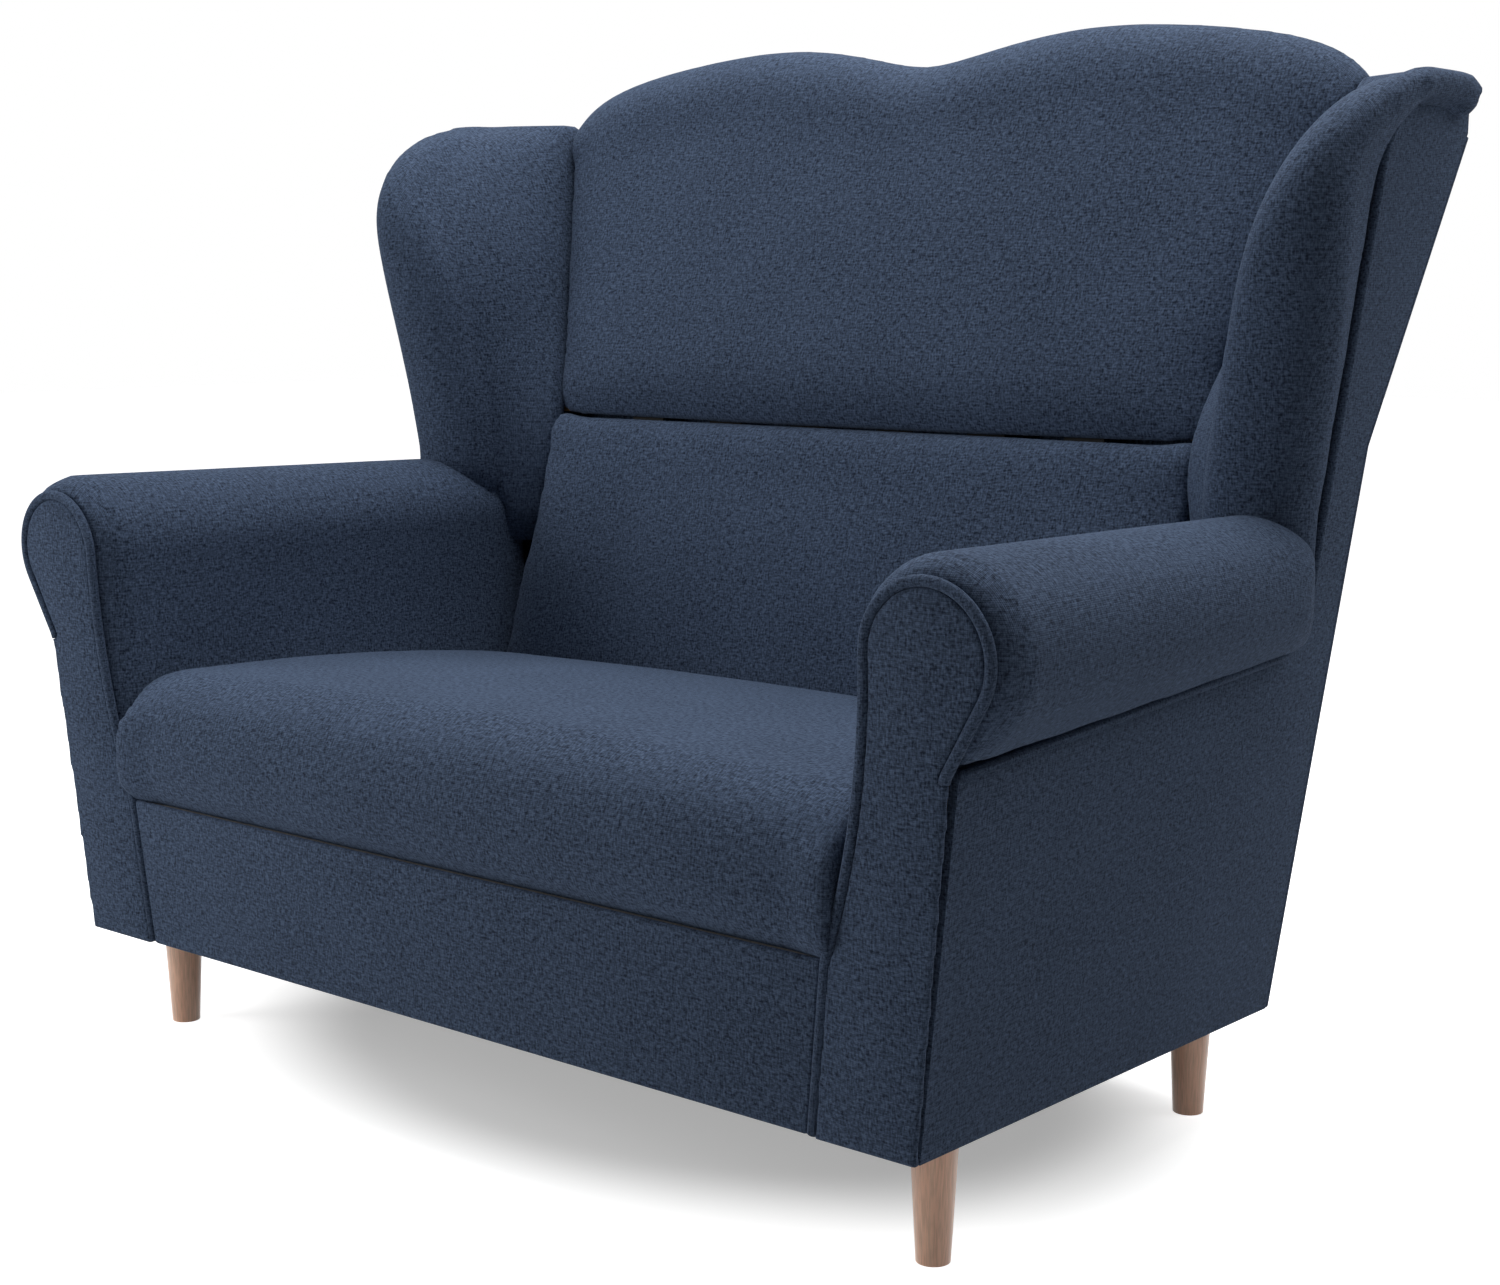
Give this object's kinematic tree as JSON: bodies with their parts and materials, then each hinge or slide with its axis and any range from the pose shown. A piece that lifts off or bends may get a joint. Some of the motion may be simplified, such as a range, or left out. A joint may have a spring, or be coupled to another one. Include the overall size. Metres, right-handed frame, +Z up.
{
  "type": "two-seater wing-back sofa",
  "caption": "Upholstered two-seater sofa with tall wings, scroll arms, a camel-shaped back, a lumbar pad, one crowned seat and short tapered wooden legs.",
  "frame": {"origin": "on the floor, under the middle of the overall box", "axes": "+X to the right seen from the front, +Y to the rear, +Z up; the seat faces -Y"},
  "size_m": [1.3682, 0.8784, 1.1224],
  "materials": {
    "upholstery": "matt navy melange weave with a soft sheen",
    "wadding": "white polyester wadding over foam",
    "foam": "cream polyurethane foam, open cells",
    "frame_timber": "planed pine, unfinished",
    "plywood": "birch plywood, unfinished",
    "hardboard": "brown hardboard, smooth face",
    "leg_beech": "pale beech, satin lacquer",
    "zinc_steel": "bright zinc plate",
    "felt": "pressed grey felt",
    "webbing": "black elastic webbing",
    "lining": "black non-woven cloth"
  },
  "bodies": {
    "root": {"arm_cover_left": "upholstery", "arm_cover_right": "upholstery", "arm_facing_left": "upholstery", "arm_facing_right": "upholstery", "arm_front_board_left": "plywood", "arm_front_board_right": "plywood", "arm_inner_panel_left": "hardboard", "arm_inner_panel_right": "hardboard", "arm_padding_left": "wadding", "arm_padding_right": "wadding", "arm_roll_rail_left": "frame_timber", "arm_roll_rail_right": "frame_timber", "back_middle_rail": "frame_timber", "back_post_left": "frame_timber", "back_post_right": "frame_timber", "back_straps": "webbing", "back_top_rail": "frame_timber", "back_upper_cover": "upholstery", "back_upper_padding": "wadding", "centre_brace": "frame_timber", "corner_blocks": "frame_timber", "dust_cover": "lining", "facing_welt_left": "upholstery", "facing_welt_right": "upholstery", "foot_felts": "felt", "front_apron": "upholstery", "front_rail": "frame_timber", "leg_bolts": "zinc_steel", "leg_front_left": "leg_beech", "leg_front_right": "leg_beech", "leg_rear_left": "leg_beech", "leg_rear_right": "leg_beech", "leg_tee_nuts": "zinc_steel", "lumbar_cover": "upholstery", "lumbar_padding": "wadding", "outside_back": "upholstery", "outside_panel_left": "upholstery", "outside_panel_right": "upholstery", "outside_welt_left": "upholstery", "outside_welt_right": "upholstery", "rear_rail": "frame_timber", "seat_cover": "upholstery", "seat_felt": "felt", "seat_foam": "foam", "seat_rail_left": "frame_timber", "seat_rail_right": "frame_timber", "seat_springs": "zinc_steel", "side_rail_left": "frame_timber", "side_rail_right": "frame_timber", "spring_clips": "zinc_steel", "spring_rail": "frame_timber", "wing_board_left": "plywood", "wing_board_right": "plywood", "wing_cover_left": "upholstery", "wing_cover_right": "upholstery", "wing_padding_left": "wadding", "wing_padding_right": "wadding"}
  },
  "joints": []
}
